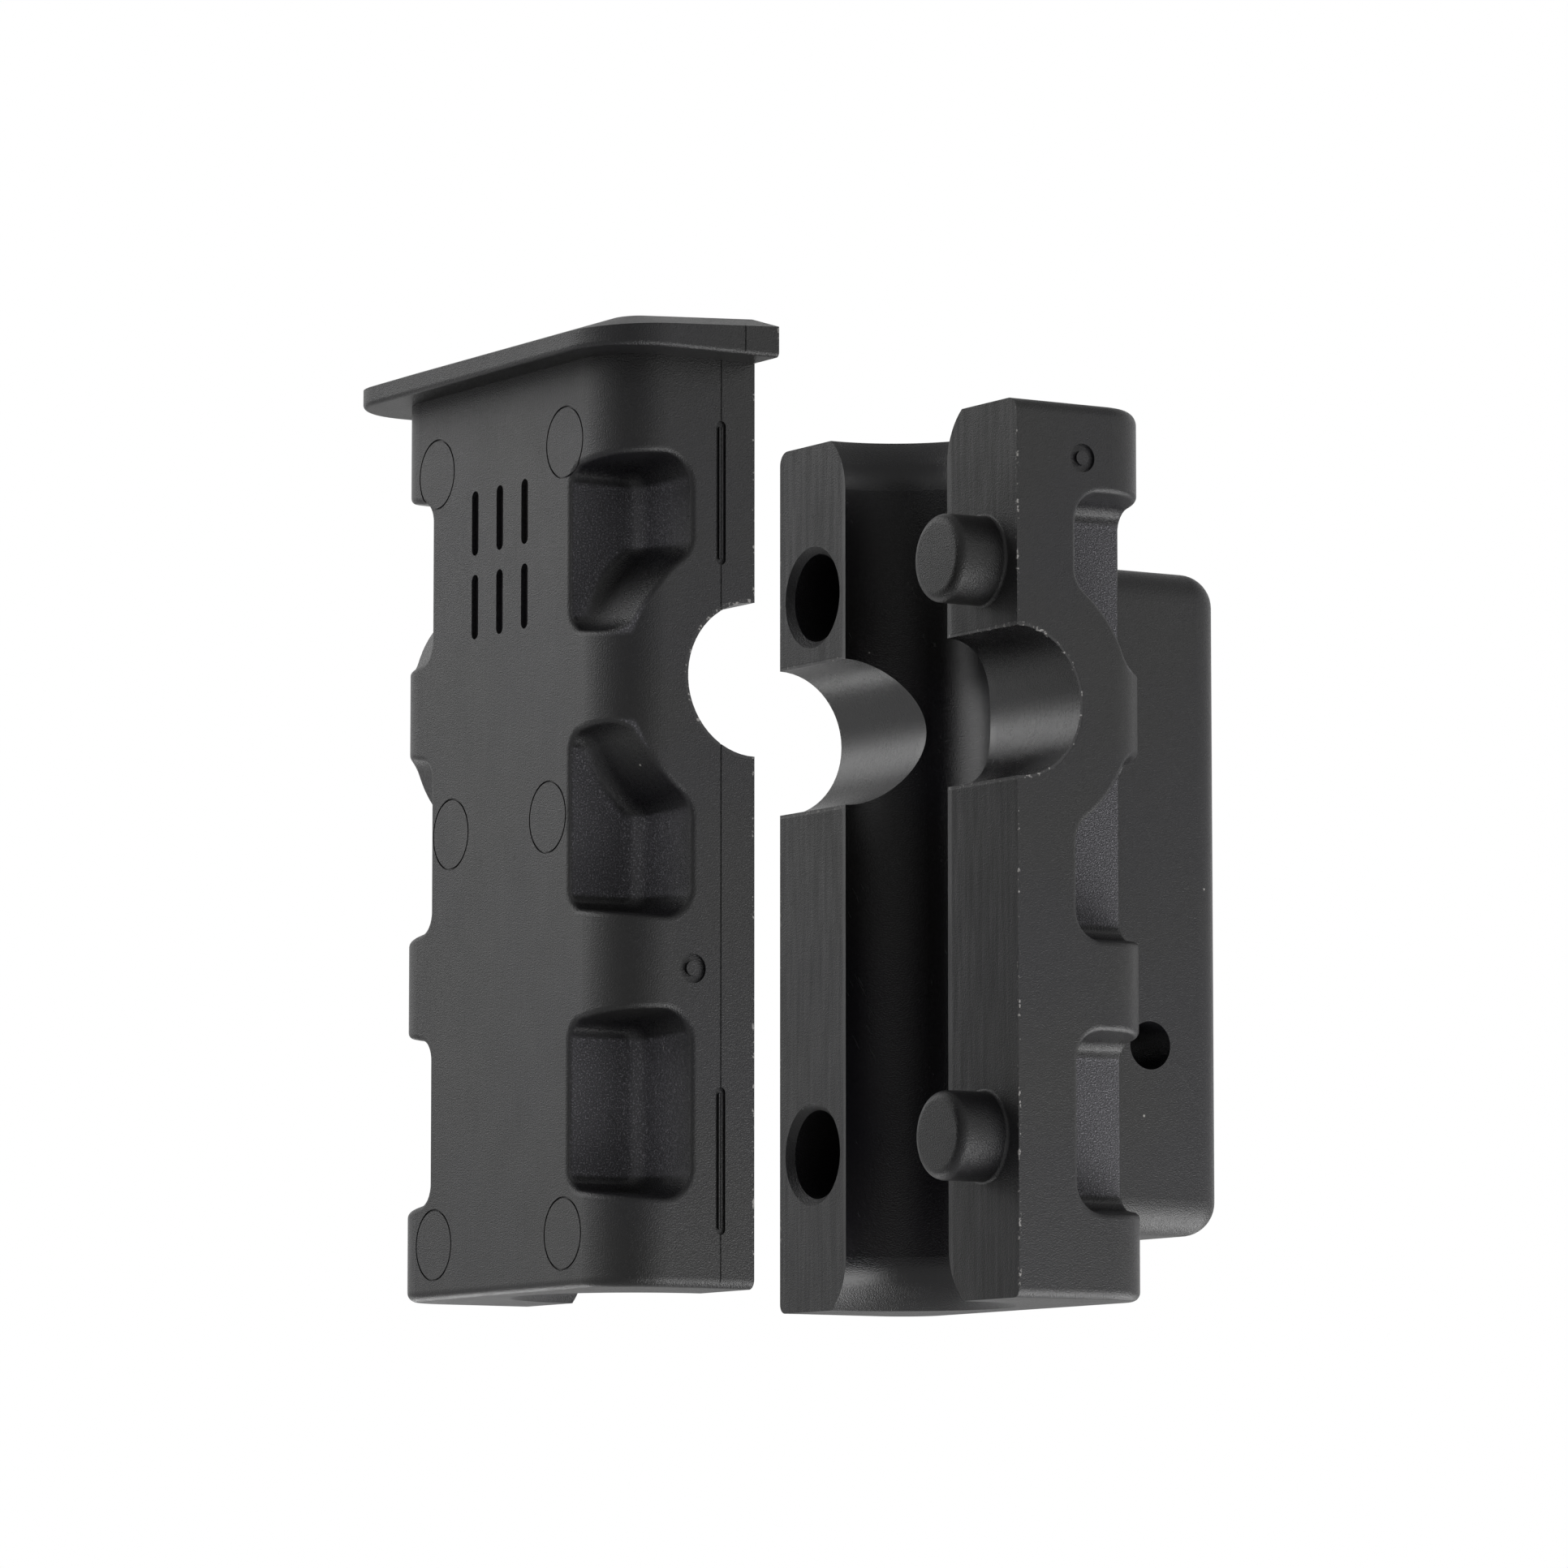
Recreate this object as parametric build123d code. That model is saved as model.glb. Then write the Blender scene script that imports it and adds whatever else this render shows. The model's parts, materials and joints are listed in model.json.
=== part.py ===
"""Two-piece split bush insert: a flanged half and a plain half that close on each other.

Frame: the origin is where the rod bore's axis crosses the cross-pin hole's axis, on the flanged half's
mating plane. +Z is up along the rod bore, towards the flange. +Y is along the cross-pin hole. +X is the
way from the flanged half to the plain half. The halves are drawn apart, OPEN_GAP from closed.
Each half is first modelled with its mating plane at X = 0 and its body on the +X side.
"""
from build123d import *
import os

# Driving dimensions, in millimetres
BODY_WIDTH = 37.4        # over both legs, along Y
BOTTOM_Z = -49.5         # bottom face, below the cross-pin axis
PLAIN_TOP_Z = 25.5       # top face of the plain half
FLANGE_SEAT_Z = 26.0     # underside of the flange
OPEN_GAP = 25.6          # between the mating planes when the halves are apart

# What differs between the two bodies: mating plane to back face, vertical rear corners, and how far
# the pockets are sunk into the side faces
FLANGED = {"depth": 13.2, "corner_r": 5.0, "pocket_depth": 7.2}
PLAIN = {"depth": 14.2, "corner_r": 4.6, "pocket_depth": 5.7}

BOTTOM_EDGE_R = 0.8
PLAIN_TOP_EDGE_R = 1.2

BORE_R = 8.05            # rod bore
FLARE_RADIAL = 2.3       # widening of the bore at each mouth
FLARE_LENGTH = 4.5
PIN_R = 6.3              # cross-pin hole

PEG_R = 3.75
PEG_LENGTH = 4.6
PEG_TIP_R = 0.9
PEG_ROOT_R = 0.3
PEG_HOLE_R = 3.82
PEG_HOLE_DEPTH = 5.2
PEG_HOLE_LEAD = 0.6
PEG_Z = (12.2, -36.0)    # upper and lower peg

POCKET_START = 5.9       # from the mating plane
POCKET_CORNER_R = 2.6    # corners of its outline
POCKET_FLOOR_R = 1.8     # between its floor and walls
POCKET_DRAFT = 8         # slope of its walls, in degrees
POCKET_RIM_R = 0.5
RING_R = 11.7            # thick ring left round the pin hole
UPPER_POCKET_Z = (3.0, 18.1)
MIDDLE_POCKET_Z = (-19.7, -3.6)
LOWER_POCKET_Z = (-42.4, -27.1)

FLANGE_OVERHANG = 3.8    # past the side faces
FLANGE_BACK_OVERHANG = 3.0
FLANGE_FRONT_THICKNESS = 3.7
FLANGE_BACK_THICKNESS = 2.7
FLANGE_CORNER_R = 6.0
FLANGE_CROWN = (4.2, 1.2)   # width of the slope along the top's rim, and how far it comes down
FLANGE_UNDER_R = 0.4     # along the underside's rim

BLOCK_WIDTH = 22.4       # block on the plain half's back, along Y
BLOCK_END = 26.2         # its rear face, from the mating plane
BLOCK_Z = (-43.4, 13.3)
BLOCK_CORNER_R = 2.9
BLOCK_HOLE_R = 2.05
BLOCK_HOLE_X = 18.3
BLOCK_HOLE_Z = -27.5

EJECTOR_R = 3.0
EJECTOR_RING = 0.16      # width of the groove round each mark, and its depth
EJECTOR_MARKS = ((10.6, 19.5), (8.0, -11.0), (10.6, -45.0))   # (half spacing, z)
MARK_SIZE = (1.1, 5.4)   # moulded marks on the back: width and height of a slot
MARK_DEPTH = 0.45
MARK_PITCH = 4.1
MARK_ROWS_Z = (14.6, 7.6)

SLIT_X = 3.2             # slits and parting line on the side faces, from the mating plane
SLIT_WIDTH = 0.9
SLIT_RIB = 0.3           # fine rib left standing along the middle of each slit
SLIT_DEPTH = 0.25
SLITS_Z = ((9.2, 21.0), (-45.2, -33.3))
PARTING_WIDTH = 0.14
PARTING_DEPTH = 0.07

GATE_R = 1.2             # cut-off gate mark on the near side face
GATE_DEPTH = 0.3
FLANGED_GATE = (5.8, -23.8)
PLAIN_GATE = (6.6, 20.8)

HALF_WIDTH = BODY_WIDTH / 2
LEG_CENTRE_Y = (HALF_WIDTH + BORE_R) / 2


def span_box(x, y, z):
    """A box from its (low, high) limits on each axis."""
    size = [high - low for low, high in (x, y, z)]
    centre = [(high + low) / 2 for low, high in (x, y, z)]
    return Pos(*centre) * Box(*size)


def upright_edges(solid, x_at_least):
    """The vertical edges whose centre is at or past a given X."""
    return [e for e in solid.edges().filter_by(Axis.Z) if e.center().X > x_at_least]


def side_outline(points):
    """A closed outline in the XZ plane from (x, z) points."""
    return make_face(Polyline([(x, 0, z) for x, z in points], close=True))


def end_edges(solid, z):
    """The edges of a level end face, apart from those on the mating plane."""
    level = solid.edges().filter_by_position(Axis.Z, z - 0.01, z + 0.01)
    return [e for e in level if e.center().X > 0.01]


def body(sizes, top_z, top_r):
    """The block that a half is cut from, with its rounded rear corners and ends."""
    solid = span_box((0, sizes["depth"]), (-HALF_WIDTH, HALF_WIDTH), (BOTTOM_Z, top_z))
    solid = fillet(upright_edges(solid, 1.0), sizes["corner_r"])
    solid = fillet(end_edges(solid, BOTTOM_Z), BOTTOM_EDGE_R)
    if top_r:
        solid = fillet(end_edges(solid, top_z), top_r)
    return solid


def rod_bore(top_z):
    """The rod bore with a curved flare at each mouth."""
    wall = BORE_R
    mouth = BORE_R + FLARE_RADIAL
    low, high = BOTTOM_Z, top_z
    bend = (FLARE_LENGTH**2 + FLARE_RADIAL**2) / (2 * FLARE_RADIAL)
    past = 1.0
    profile = Line((0, low - past), (mouth, low - past))
    profile += Line((mouth, low - past), (mouth, low))
    profile += RadiusArc((mouth, low), (wall, low + FLARE_LENGTH), bend)
    profile += Line((wall, low + FLARE_LENGTH), (wall, high - FLARE_LENGTH))
    profile += RadiusArc((wall, high - FLARE_LENGTH), (mouth, high), bend)
    profile += Line((mouth, high), (mouth, high + past))
    profile += Line((mouth, high + past), (0, high + past))
    profile += Line((0, high + past), (0, low - past))
    return revolve(Plane.XZ * make_face(profile), Axis.Z)


def pin_hole():
    """The cross-pin hole through both legs."""
    return Rot(90, 0, 0) * Cylinder(PIN_R, BODY_WIDTH + 2)


def pocket_cutter(sizes, z_low, z_high):
    """A pocket's cutter on the +Y side: clear of the ring, with sloping walls and a rounded floor."""
    past = sizes["depth"] + 8
    outline = Rectangle(past - POCKET_START, z_high - z_low, align=(Align.MIN, Align.MIN))
    outline = Pos(POCKET_START, z_low) * outline - Circle(RING_R)
    corners = [v for v in outline.vertices() if v.X < sizes["depth"]]
    outline = fillet(corners, POCKET_CORNER_R)
    mouth = Plane.XZ.offset(-HALF_WIDTH) * outline
    cutter = extrude(mouth, sizes["pocket_depth"], taper=POCKET_DRAFT) + extrude(mouth, -5)
    floor = cutter.faces().sort_by(Axis.Y)[0]
    rounded = floor.edges().sort_by(Axis.X)[:-1]
    return fillet(rounded, POCKET_FLOOR_R)


def pockets(sizes):
    """Three pockets on each rear corner."""
    far = [pocket_cutter(sizes, *span) for span in (UPPER_POCKET_Z, MIDDLE_POCKET_Z, LOWER_POCKET_Z)]
    near = [mirror(cutter, Plane.XZ) for cutter in far]
    return far + near


def rim_edges(solid, sizes):
    """The outer rims of the pockets, on the side faces and the back."""
    rims = []
    for edge in solid.edges():
        c = edge.center()
        on_side = abs(abs(c.Y) - HALF_WIDTH) < 0.01 and c.X > POCKET_START - 0.1
        on_back = abs(c.X - sizes["depth"]) < 0.01 and abs(c.Y) < HALF_WIDTH - sizes["corner_r"] + 0.01
        inside = BOTTOM_Z + 1.5 < c.Z < UPPER_POCKET_Z[1] + 1.0
        if (on_side or on_back) and inside:
            rims.append(edge)
    return rims


def slot(width, height, depth):
    """A round-ended upright slot cutter in the YZ plane, centred on its mouth at X = 0."""
    return extrude(Plane.YZ * SlotOverall(height, width, rotation=90), depth, both=True)


def gate_mark(x, z):
    """A shallow round cut-off mark with a raised button in it, on the near side face."""
    ring = Cylinder(GATE_R, 2 * GATE_DEPTH) - Cylinder(GATE_R / 2, 2 * GATE_DEPTH)
    return Pos(x, -HALF_WIDTH, z) * Rot(90, 0, 0) * ring


def peg(y, z):
    """A round-tipped peg that stands out of the mating plane, towards -X."""
    pin = Cylinder(PEG_R, PEG_LENGTH + 1, align=(Align.CENTER, Align.CENTER, Align.MIN))
    pin = fillet(pin.edges().sort_by(Axis.Z)[-1], PEG_TIP_R)
    return Pos(1, y, z) * Rot(0, -90, 0) * pin


def peg_hole(y, z):
    """A blind peg hole with a rounded mouth, sunk into the mating plane."""
    wall = Cylinder(PEG_HOLE_R, PEG_HOLE_DEPTH, align=(Align.CENTER, Align.CENTER, Align.MIN))
    lead = Cylinder(PEG_HOLE_R + PEG_HOLE_LEAD, 2 * PEG_HOLE_LEAD)
    lead = chamfer(lead.edges().sort_by(Axis.Z)[-1], PEG_HOLE_LEAD * 0.999)
    return Pos(0, y, z) * Rot(0, 90, 0) * (wall + lead)


def half(block, sizes, pegs_y, bore_top_z):
    """Cuts what both halves share. pegs_y is the leg with the pegs; the other leg has the holes."""
    solid = block
    for cutter in pockets(sizes):
        solid -= cutter
    solid = fillet(rim_edges(solid, sizes), POCKET_RIM_R)
    solid -= rod_bore(bore_top_z)
    solid -= pin_hole()
    for z in PEG_Z:
        solid += peg(pegs_y, z)
        solid -= peg_hole(-pegs_y, z)
    roots = [e for e in solid.edges().filter_by(GeomType.CIRCLE) if abs(e.radius - PEG_R) < 0.001]
    roots = [e for e in roots if abs(e.center().X) < 0.01]
    return fillet(roots, PEG_ROOT_R)


def rear_block():
    """The block on the plain half's back, rounded at its rear edges."""
    root_x = PLAIN["depth"] - 3
    block = span_box((root_x, BLOCK_END), (-BLOCK_WIDTH / 2, BLOCK_WIDTH / 2), BLOCK_Z)
    rounded = [e for e in block.edges() if e.center().X > root_x + 0.1]
    return fillet(rounded, BLOCK_CORNER_R)


def plain_half():
    """The half with no flange and a drilled block on its back."""
    solid = half(body(PLAIN, PLAIN_TOP_Z, PLAIN_TOP_EDGE_R), PLAIN, -LEG_CENTRE_Y, PLAIN_TOP_Z)
    solid += rear_block()
    solid -= Pos(BLOCK_HOLE_X, 0, BLOCK_HOLE_Z) * Rot(90, 0, 0) * Cylinder(BLOCK_HOLE_R, BODY_WIDTH)
    solid -= gate_mark(*PLAIN_GATE)
    return solid


def flange():
    """The top flange: thicker at the mating plane than at the back, sloping down round its rim."""
    half_span = HALF_WIDTH + FLANGE_OVERHANG
    end = FLANGED["depth"] + FLANGE_BACK_OVERHANG
    top = FLANGE_SEAT_Z + FLANGE_FRONT_THICKNESS
    plate = span_box((0, end), (-half_span, half_span), (FLANGE_SEAT_Z, top))
    plate = fillet(upright_edges(plate, end / 2), FLANGE_CORNER_R)
    wedge = side_outline([(0, top), (end + 1, top + 1), (end + 1, FLANGE_SEAT_Z + FLANGE_BACK_THICKNESS)])
    plate -= extrude(wedge, half_span + 1, both=True)
    upper = plate.faces().sort_by(Axis.Z)[-1]
    crowned = [e for e in upper.edges() if e.center().X > 0.01]
    plate = chamfer(crowned, *FLANGE_CROWN, reference=upper)
    return fillet(end_edges(plate, FLANGE_SEAT_Z), FLANGE_UNDER_R)


def back_marks():
    """Cutters for the back face: the rings of the ejector marks, and two rows of plain slots."""
    back = FLANGED["depth"]
    marks = []
    for half_spacing, z in EJECTOR_MARKS:
        for y in (-half_spacing, half_spacing):
            inner = Cylinder(EJECTOR_R - EJECTOR_RING, 2 * EJECTOR_RING)
            ring = Cylinder(EJECTOR_R, 2 * EJECTOR_RING) - inner
            marks.append(Pos(back, y, z) * Rot(0, 90, 0) * ring)
    for z in MARK_ROWS_Z:
        for step in (-1, 0, 1):
            marks.append(Pos(back, step * MARK_PITCH, z) * slot(*MARK_SIZE, MARK_DEPTH))
    return marks


def side_lines():
    """Cutters for both side faces: two ribbed slits, and the parting line there and on the flange."""
    cuts = []
    for side in (-1, 1):
        y = side * HALF_WIDTH
        line = Box(PARTING_WIDTH, 2 * PARTING_DEPTH, FLANGE_SEAT_Z - BOTTOM_Z)
        cuts.append(Pos(SLIT_X, y, (FLANGE_SEAT_Z + BOTTOM_Z) / 2) * line)
        rim_line = Box(PARTING_WIDTH, 2 * PARTING_DEPTH, FLANGE_FRONT_THICKNESS)
        rim_y = side * (HALF_WIDTH + FLANGE_OVERHANG)
        cuts.append(Pos(SLIT_X, rim_y, FLANGE_SEAT_Z + FLANGE_FRONT_THICKNESS / 2) * rim_line)
        for low, high in SLITS_Z:
            rib = slot(SLIT_RIB, high - low - SLIT_WIDTH, SLIT_DEPTH)
            slit = Rot(0, 0, 90) * (slot(SLIT_WIDTH, high - low, SLIT_DEPTH) - rib)
            cuts.append(Pos(SLIT_X, y, (low + high) / 2) * slit)
    return cuts


def flanged_half():
    """The half with the flange, turned to the -X side of the mating plane."""
    block = body(FLANGED, FLANGE_SEAT_Z, 0) + flange()
    solid = half(block, FLANGED, LEG_CENTRE_Y, FLANGE_SEAT_Z + FLANGE_FRONT_THICKNESS)
    for cutter in back_marks() + side_lines():
        solid -= cutter
    solid -= gate_mark(*FLANGED_GATE)
    return mirror(solid, Plane.YZ)


def main():
    """Writes one STEP file for each half, the plain one moved to its open place."""
    os.makedirs("parts", exist_ok=True)
    export_step(flanged_half(), "parts/flanged_half.step")
    export_step(Pos(OPEN_GAP, 0, 0) * plain_half(), "parts/plain_half.step")


main()
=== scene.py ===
import json
import math

import bpy
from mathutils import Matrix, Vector


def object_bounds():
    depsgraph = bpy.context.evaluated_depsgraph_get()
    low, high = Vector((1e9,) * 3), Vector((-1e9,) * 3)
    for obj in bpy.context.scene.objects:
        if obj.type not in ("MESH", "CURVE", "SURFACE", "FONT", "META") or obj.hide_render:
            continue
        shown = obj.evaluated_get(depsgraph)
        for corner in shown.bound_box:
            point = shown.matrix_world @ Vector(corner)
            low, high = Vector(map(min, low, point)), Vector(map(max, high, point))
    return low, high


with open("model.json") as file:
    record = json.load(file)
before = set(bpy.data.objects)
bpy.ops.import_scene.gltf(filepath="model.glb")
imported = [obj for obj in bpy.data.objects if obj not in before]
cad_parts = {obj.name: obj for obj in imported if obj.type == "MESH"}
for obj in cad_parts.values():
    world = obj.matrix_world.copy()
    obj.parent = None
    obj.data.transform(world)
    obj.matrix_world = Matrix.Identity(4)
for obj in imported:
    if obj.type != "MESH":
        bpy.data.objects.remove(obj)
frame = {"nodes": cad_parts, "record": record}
cad_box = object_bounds()
MM = 0.001

# The viewpoint: turned to the object's left and a little below it, through a long lens. AIM is near
# the middle of the two halves, and AIM_RIGHT and AIM_UP shift the object in the picture. Angles are in
# degrees and lengths in metres, apart from the lens and the sensor, which are in millimetres.
AZIMUTH = -31.8
ELEVATION = -6.3
DISTANCE = 0.675
LENS = 183.8
SENSOR = 36.0
AIM = Vector((0.019, 0.0, -0.0115))
AIM_RIGHT = 0.0039
AIM_UP = -0.0058

FLOOR_DROP = 0.075             # the object floats this far above the floor
FLOOR_Z = cad_box[0][2] - FLOOR_DROP
FLOOR_SIZE = 6.0
GLOW_HEIGHT = 0.004            # of the light that lies on the floor
DARK_SIDE = (-38.0, -4.0)      # azimuth and elevation of the side that hardly any light comes from

# What the materials' masks need to know of the shape, in millimetres
PIN_R = 6.3                    # cross-pin hole, round the Y axis
BORE_R = 8.05                  # rod bore, round the Z axis
RING_R = 11.7                  # thick ring left round the pin hole
SIDE_Y = 18.7                  # side faces
POCKET_START = 5.9             # where the pockets start, from the mating plane
POCKET_ROWS = ((10.5, 7.0), (-11.7, 7.5), (-34.8, 7.1))   # middle height and half height
FLANGED = {"depth": 13.2, "floor_y": 11.5}     # mating plane to back, and where the pockets' floors are
PLAIN = {"depth": 14.2, "floor_y": 13.0}


def direction(azimuth, elevation):
    """The unit vector towards a place seen from the object. Azimuth 0 is in front, -90 to the left."""
    a, e = math.radians(azimuth), math.radians(elevation)
    return Vector((math.sin(a) * math.cos(e), -math.cos(a) * math.cos(e), math.sin(e)))


# ---------------------------------------------------------------- camera, studio

def add_camera():
    back = direction(AZIMUTH, ELEVATION)
    right = direction(AZIMUTH + 90, 0)
    up = back.cross(right)
    data = bpy.data.cameras.new("camera")
    data.lens = LENS
    data.sensor_width = SENSOR
    data.clip_start = 0.05
    data.clip_end = 20.0
    camera = bpy.data.objects.new("camera", data)
    camera.location = AIM + back * DISTANCE - right * AIM_RIGHT - up * AIM_UP
    camera.rotation_euler = back.to_track_quat("Z", "Y").to_euler()
    bpy.context.scene.collection.objects.link(camera)
    bpy.context.scene.camera = camera


def add_panel(name, size, radiance, location, rotation):
    """A rectangular area light, as bright as radiance times a white surface."""
    data = bpy.data.lights.new(name, "AREA")
    data.shape = "RECTANGLE"
    data.size, data.size_y = size
    data.energy = radiance * math.pi * size[0] * size[1]
    light = bpy.data.objects.new(name, data)
    light.location = location
    light.rotation_euler = rotation
    light.visible_camera = False
    bpy.context.scene.collection.objects.link(light)


def add_softbox(name, azimuth, elevation, distance, size, radiance):
    """A panel that faces the object."""
    toward = direction(azimuth, elevation)
    rotation = toward.to_track_quat("Z", "Y").to_euler()
    add_panel(name, size, radiance, AIM + toward * distance, rotation)


def add_floor_glow(name, azimuth, reach, size, radiance):
    """A panel that lies on the floor and shines upwards."""
    place = AIM + direction(azimuth, 0) * reach
    rotation = (math.pi, 0, math.radians(azimuth))
    add_panel(name, size, radiance, (place.x, place.y, FLOOR_Z + GLOW_HEIGHT), rotation)


def smooth_ramp(tree, value, low, high, start, end):
    """A node that goes smoothly from start to end as value goes from low to high."""
    ramp = tree.nodes.new("ShaderNodeMapRange")
    ramp.interpolation_type = "SMOOTHSTEP"
    tree.links.new(value, ramp.inputs["Value"])
    for name, number in (("From Min", low), ("From Max", high), ("To Min", start), ("To Max", end)):
        ramp.inputs[name].default_value = number
    return ramp.outputs["Result"]


def add_world():
    """A white studio: plain white where the camera sees it. As a source of light it is dimmer above,
    and nearly dark on one side."""
    world = bpy.data.worlds.new("studio")
    world.use_nodes = True
    tree = world.node_tree
    background = tree.nodes["Background"]
    coords = tree.nodes.new("ShaderNodeTexCoord")
    split = tree.nodes.new("ShaderNodeSeparateXYZ")
    tree.links.new(coords.outputs["Generated"], split.inputs[0])
    height = smooth_ramp(tree, split.outputs["Z"], 0.1, 0.8, 0.85, 0.35)
    front = tree.nodes.new("ShaderNodeVectorMath")
    front.operation = "DOT_PRODUCT"
    tree.links.new(coords.outputs["Generated"], front.inputs[0])
    front.inputs[1].default_value = direction(*DARK_SIDE)
    dark = smooth_ramp(tree, front.outputs["Value"], 0.76, 0.97, 1.0, 0.12)
    shade = tree.nodes.new("ShaderNodeMath")
    shade.operation = "MULTIPLY"
    tree.links.new(height, shade.inputs[0])
    tree.links.new(dark, shade.inputs[1])
    path = tree.nodes.new("ShaderNodeLightPath")
    seen = tree.nodes.new("ShaderNodeMath")
    seen.operation = "MAXIMUM"
    tree.links.new(path.outputs["Is Camera Ray"], seen.inputs[0])
    tree.links.new(shade.outputs[0], seen.inputs[1])
    tree.links.new(seen.outputs[0], background.inputs["Strength"])
    background.inputs["Color"].default_value = (1, 1, 1, 1)
    bpy.context.scene.world = world


def add_floor():
    bpy.ops.mesh.primitive_plane_add(size=FLOOR_SIZE, location=(0, 0, FLOOR_Z))
    floor = bpy.context.object
    floor.name = "floor"
    material = bpy.data.materials.new("pale_floor")
    material.use_nodes = True
    shader = material.node_tree.nodes["Principled BSDF"]
    shader.inputs["Base Color"].default_value = (0.80, 0.80, 0.80, 1)
    shader.inputs["Roughness"].default_value = 0.9
    floor.data.materials.append(material)


add_camera()
add_world()
add_floor()
add_softbox("back_left", -140, 26, 0.9, (0.7, 0.5), 2.0)
add_softbox("front_right", 35, 8, 0.9, (0.5, 0.7), 0.65)
add_floor_glow("glow_front_right", 52, 0.13, (0.24, 0.16), 4.0)
add_softbox("low_behind", 178, -34, 0.16, (0.03, 0.03), 6.0)
bpy.context.scene.view_settings.view_transform = "Standard"


# ---------------------------------------------------------------- shader building

class Shader:
    """A material's node tree with short calls for the nodes that it is built from."""

    def __init__(self, name):
        self.material = bpy.data.materials.new(name)
        self.material.use_nodes = True
        self.tree = self.material.node_tree
        self.surface = self.tree.nodes["Principled BSDF"]

    def feed(self, socket, value):
        if isinstance(value, bpy.types.NodeSocket):
            self.tree.links.new(value, socket)
        else:
            socket.default_value = value

    def node(self, kind, **sockets):
        made = self.tree.nodes.new("ShaderNode" + kind)
        for name, value in sockets.items():
            self.feed(made.inputs[name.replace("_", " ")], value)
        return made

    def calc(self, operation, *values):
        made = self.tree.nodes.new("ShaderNodeMath")
        made.operation = operation
        for socket, value in zip(made.inputs, values):
            self.feed(socket, value)
        return made.outputs[0]

    def total(self, *values):
        result = values[0]
        for value in values[1:]:
            result = self.calc("ADD", result, value)
        return result

    def product(self, *values):
        result = values[0]
        for value in values[1:]:
            result = self.calc("MULTIPLY", result, value)
        return result

    def length(self, a, b):
        return self.calc("SQRT", self.total(self.product(a, a), self.product(b, b)))

    def ramp(self, value, low, high, start=0.0, end=1.0):
        """Goes smoothly from start to end as value goes from low to high."""
        made = self.node("MapRange", Value=value, From_Min=low, From_Max=high, To_Min=start, To_Max=end)
        made.interpolation_type = "SMOOTHSTEP"
        return made.outputs["Result"]

    def band(self, value, centre, half_width, soft):
        """1 within half_width of a centre value, and 0 outside."""
        away = self.calc("ABSOLUTE", self.calc("SUBTRACT", value, centre))
        return self.ramp(away, half_width, half_width + soft, 1.0, 0.0)

    def stretch(self, place, factors):
        made = self.tree.nodes.new("ShaderNodeVectorMath")
        made.operation = "MULTIPLY"
        self.feed(made.inputs[0], place)
        made.inputs[1].default_value = factors
        return made.outputs[0]

    def noise(self, place, scale, detail=2.0, factors=None):
        if factors:
            place = self.stretch(place, factors)
        made = self.node("TexNoise", Vector=place, Scale=scale, Detail=detail)
        return made.outputs["Fac"]

    def specks(self, place, spacing, radius, share):
        """Round specks: radius within cells of a given spacing, in a share of the cells."""
        cells = self.node("TexVoronoi", Vector=place, Scale=1.0 / spacing)
        dot = self.ramp(cells.outputs["Distance"], radius / spacing * 0.5, radius / spacing, 1.0, 0.0)
        pick = self.node("SeparateColor", Color=cells.outputs["Color"]).outputs["Red"]
        return self.product(dot, self.ramp(pick, 1.0 - share, 1.0 - share * 0.98))

    def tint(self, factor, low, high):
        """Goes from one colour to another."""
        made = self.tree.nodes.new("ShaderNodeMix")
        made.data_type = "RGBA"
        self.feed(made.inputs["Factor"], factor)
        for socket, value in zip([s for s in made.inputs if s.type == "RGBA"], (low, high)):
            if not isinstance(value, bpy.types.NodeSocket):
                value = (*value, 1.0)
            self.feed(socket, value)
        return [s for s in made.outputs if s.type == "RGBA"][0]

    def bump(self, height, strength, distance, normal=None):
        made = self.node("Bump", Height=height, Strength=strength, Distance=distance)
        if normal is not None:
            self.feed(made.inputs["Normal"], normal)
        return made.outputs["Normal"]


# ---------------------------------------------------------------- moulded plastic

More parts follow.
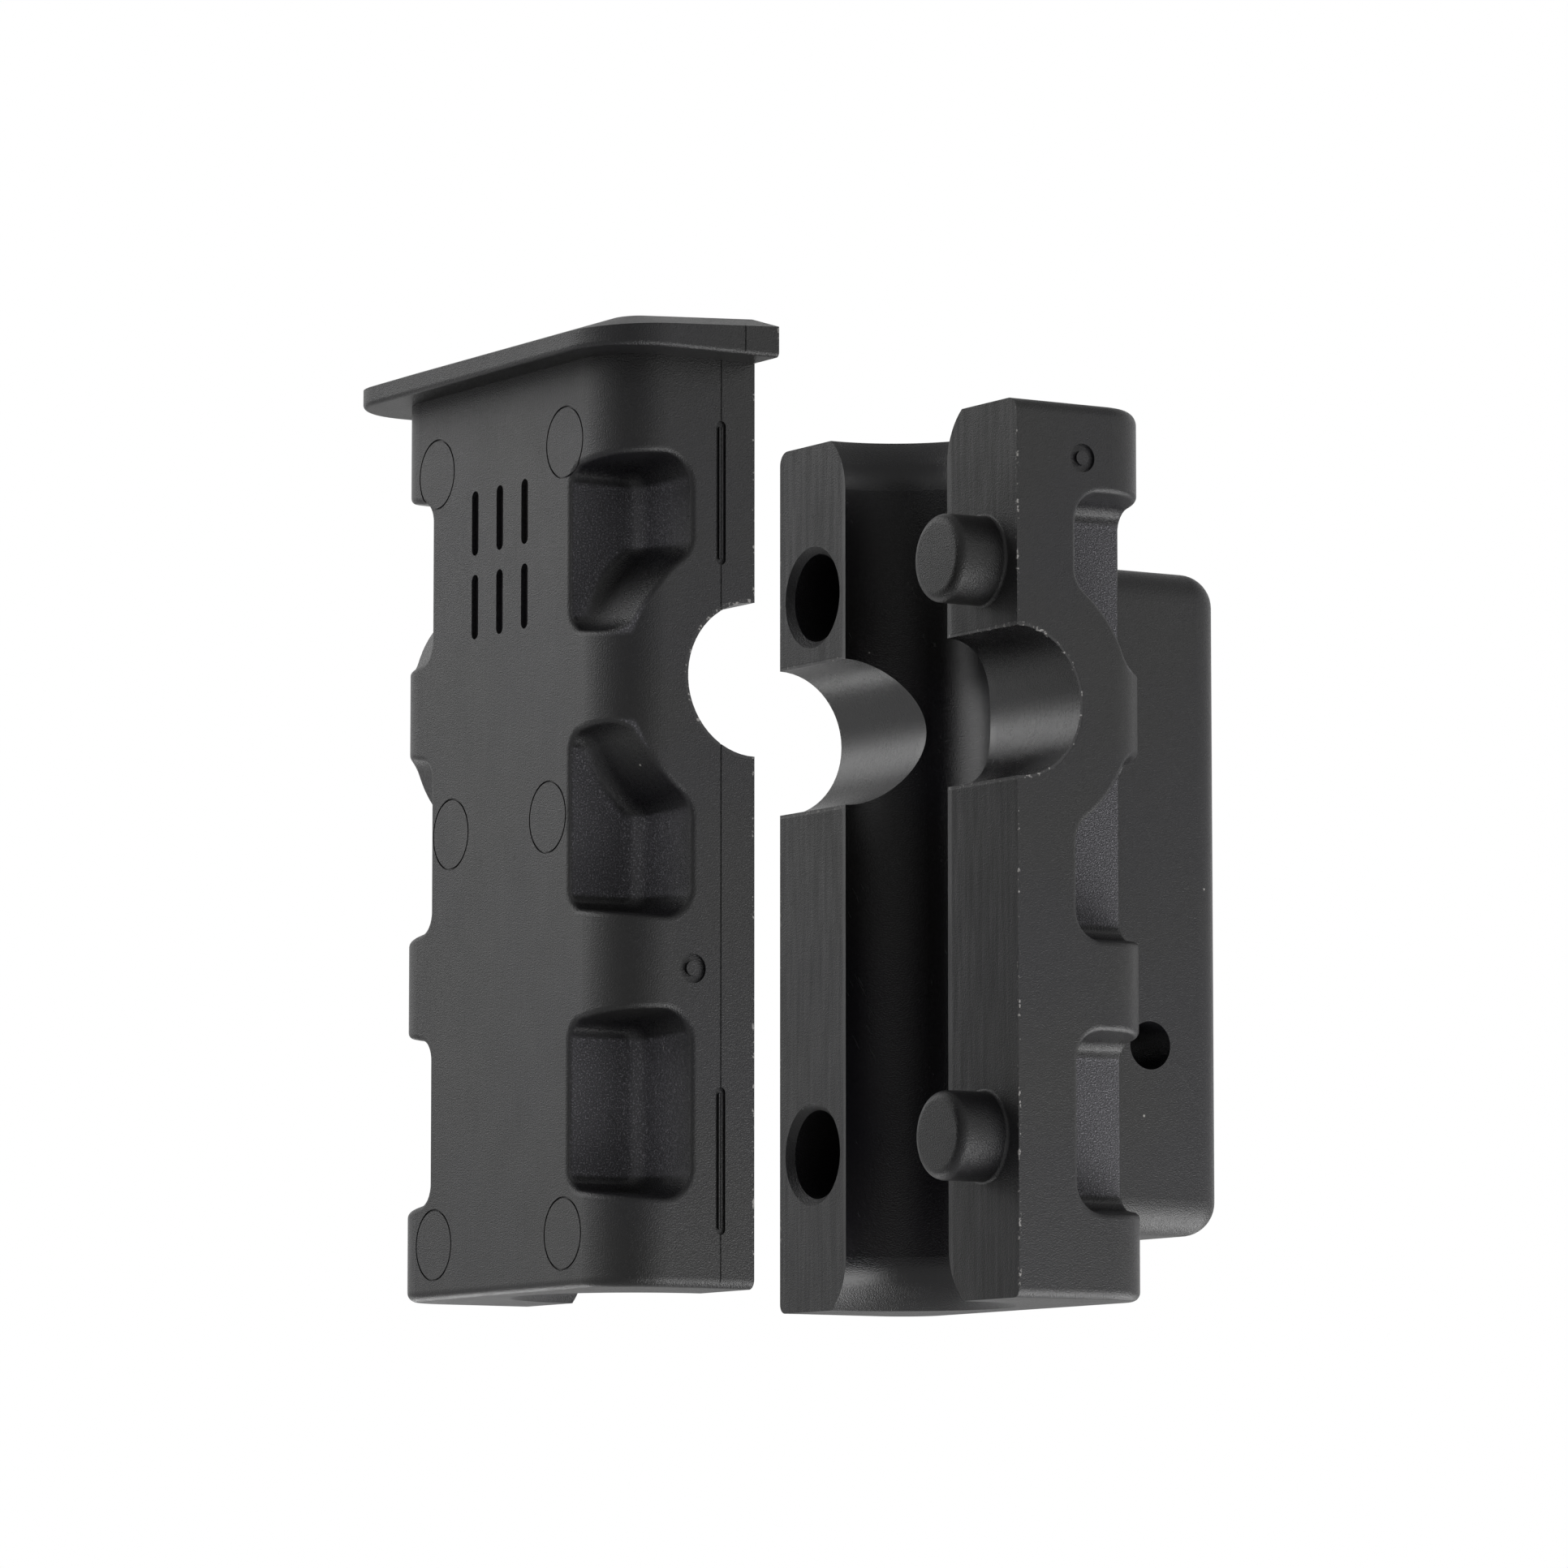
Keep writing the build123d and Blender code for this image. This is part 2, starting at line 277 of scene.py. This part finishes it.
def moulded_plastic(name, plane_x, depth, floor_y):
    """Near-black plastic with the finish that each face of one half has.

    plane_x is the mating plane, depth the distance from it to the back, and floor_y how far the
    pockets' floors are from the middle: all in mm.
    """
    s = Shader(name)
    coords = s.node("TexCoord")
    place = s.stretch(coords.outputs["Object"], (1 / MM, 1 / MM, 1 / MM))
    at = s.node("SeparateXYZ", Vector=place).outputs
    facing = s.node("SeparateXYZ", Vector=coords.outputs["Normal"]).outputs
    from_plane = s.calc("ABSOLUTE", s.calc("SUBTRACT", at["X"], plane_x))
    across = s.calc("ABSOLUTE", at["Y"])
    face_x = s.calc("ABSOLUTE", facing["X"])
    face_y = s.calc("ABSOLUTE", facing["Y"])
    face_z = s.calc("ABSOLUTE", facing["Z"])

    on_floor = s.product(s.band(across, floor_y, 0.7, 0.9),
                         s.ramp(from_plane, POCKET_START, POCKET_START + 0.6),
                         s.ramp(face_y, 0.75, 0.95))
    on_back = s.product(s.ramp(face_x, 0.8, 0.97), s.ramp(from_plane, depth - 0.6, depth - 0.2))
    on_mating = s.product(s.ramp(face_x, 0.9, 0.99), s.ramp(from_plane, 0.1, 0.3, 1.0, 0.0))
    from_bore = s.length(from_plane, across)
    in_bore = s.ramp(from_bore, BORE_R + 0.25, BORE_R + 0.85, 1.0, 0.0)
    from_pin = s.length(from_plane, at["Z"])
    in_pin = s.ramp(from_pin, PIN_R + 0.15, PIN_R + 0.4, 1.0, 0.0)
    rows = [s.band(at["Z"], middle, half_height, 0.6) for middle, half_height in POCKET_ROWS]
    pocket_rows = s.calc("MAXIMUM", rows[0], s.calc("MAXIMUM", rows[1], rows[2]))
    in_pocket = s.product(pocket_rows,
                          s.ramp(from_plane, POCKET_START - 0.2, POCKET_START + 0.6),
                          s.ramp(across, SIDE_Y - 0.7, SIDE_Y - 0.1, 1.0, 0.0),
                          s.ramp(from_plane, depth - 0.5, depth - 0.1, 1.0, 0.0),
                          s.ramp(from_pin, RING_R - 0.4, RING_R),
                          s.ramp(across, 9.5, 10.2))

    mottle = s.noise(place, 0.22, 3.0)
    cloud = s.noise(place, 0.07, 2.0)
    grain = s.noise(place, 9.0, 2.0)
    streaks = s.noise(place, 2.2, 3.0, (1.0, 1.0, 0.06))
    # Noise for the pocket floors' grit bump and for the painted glints in the pockets' colour
    grit_and_painted_glint = s.noise(place, 8.0, 1.0)
    turned = s.node("Mapping", Vector=place, Rotation=(0.0, 0.55, 0.3)).outputs[0]
    scratches = s.ramp(s.noise(turned, 3.0, 2.0, (1.0, 1.0, 0.035)), 0.66, 0.74)
    patchy = s.ramp(mottle, 0.42, 0.62)
    dust = s.noise(place, 2.6, 2.0)

    # Worn spots along the sharp edges of the mating face: its outer sides and the pin notch
    outer_edge = s.product(s.ramp(across, SIDE_Y - 0.25, SIDE_Y - 0.1),
                           s.ramp(from_plane, 0.12, 0.28, 1.0, 0.0))
    notch_mouth = s.calc("MAXIMUM", s.ramp(from_plane, 0.1, 0.25, 1.0, 0.0),
                         s.ramp(across, SIDE_Y - 0.3, SIDE_Y - 0.1))
    notch_edge = s.product(s.ramp(from_pin, PIN_R + 0.2, PIN_R + 0.35, 1.0, 0.0), notch_mouth)
    worn = s.product(s.calc("MAXIMUM", outer_edge, notch_edge), s.ramp(dust, 0.60, 0.68))

    roughness = s.total(0.34,
                        s.product(scratches, patchy, 0.14),
                        s.product(worn, 0.3),
                        s.product(on_back, 0.08),
                        s.product(s.calc("SUBTRACT", grain, 0.5), 0.10),
                        s.product(on_mating, 0.20),
                        s.product(in_bore, -0.12),
                        s.product(in_pocket, -0.06),
                        s.product(on_floor, 0.34),
                        s.product(in_pin, -0.08),
                        s.product(s.calc("SUBTRACT", mottle, 0.5), 0.08),
                        s.product(s.calc("SUBTRACT", streaks, 0.5),
                                  s.ramp(on_mating, 0.0, 1.0, 0.08, 0.35)))
    s.feed(s.surface.inputs["Roughness"], roughness)

    cool = (0.0080, 0.0077, 0.0096)
    neutral = (0.0090, 0.0088, 0.0087)
    colour = s.tint(s.ramp(cloud, 0.35, 0.65), cool, neutral)
    # Painted sheen and glints: the pockets' walls and floors get a lighter grey with whiter spots,
    # standing in for the sheen and glints of their rough spark-eroded texture
    painted_pocket_sheen = s.tint(s.ramp(grit_and_painted_glint, 0.52, 0.72), (0.0480, 0.0470, 0.0530), (0.200, 0.195, 0.215))
    colour = s.tint(s.product(in_pocket, s.ramp(face_z, 0.15, 0.4, 1.0, 0.0)), colour, painted_pocket_sheen)
    specks = s.specks(place, 3.1, 0.14, 0.06)
    colour = s.tint(s.product(specks, 0.8), colour, (0.35, 0.34, 0.32))
    colour = s.tint(s.product(scratches, patchy, 0.5), colour, (0.028, 0.028, 0.028))
    colour = s.tint(s.product(worn, 0.8), colour, (0.33, 0.32, 0.31))
    s.feed(s.surface.inputs["Base Color"], colour)

    relief = s.total(cloud, s.product(mottle, 0.25))
    normal = s.bump(relief, 0.12, 0.0002)
    polished = s.calc("MAXIMUM", in_bore, in_pin)
    fine = s.product(grain, s.ramp(polished, 0.0, 1.0, 1.0, 0.4))
    normal = s.bump(fine, 1.0, 0.00007, normal)
    normal = s.bump(s.product(grit_and_painted_glint, on_floor), 1.0, 0.00020, normal)
    s.feed(s.surface.inputs["Normal"], normal)
    s.surface.inputs["IOR"].default_value = 1.5
    return s.material


def dress(node, material):
    """Gives a CAD node its one material."""
    node.data.materials.clear()
    node.data.materials.append(material)


mounts = {mount["name"]: mount for mount in frame["record"]["mounts"]}
gap = mounts["plain_rod_seat"]["pos_m"][0] / MM
dress(frame["nodes"]["flanged_half"], moulded_plastic("flanged_half_plastic", 0.0, **FLANGED))
dress(frame["nodes"]["plain_half"], moulded_plastic("plain_half_plastic", gap, **PLAIN))
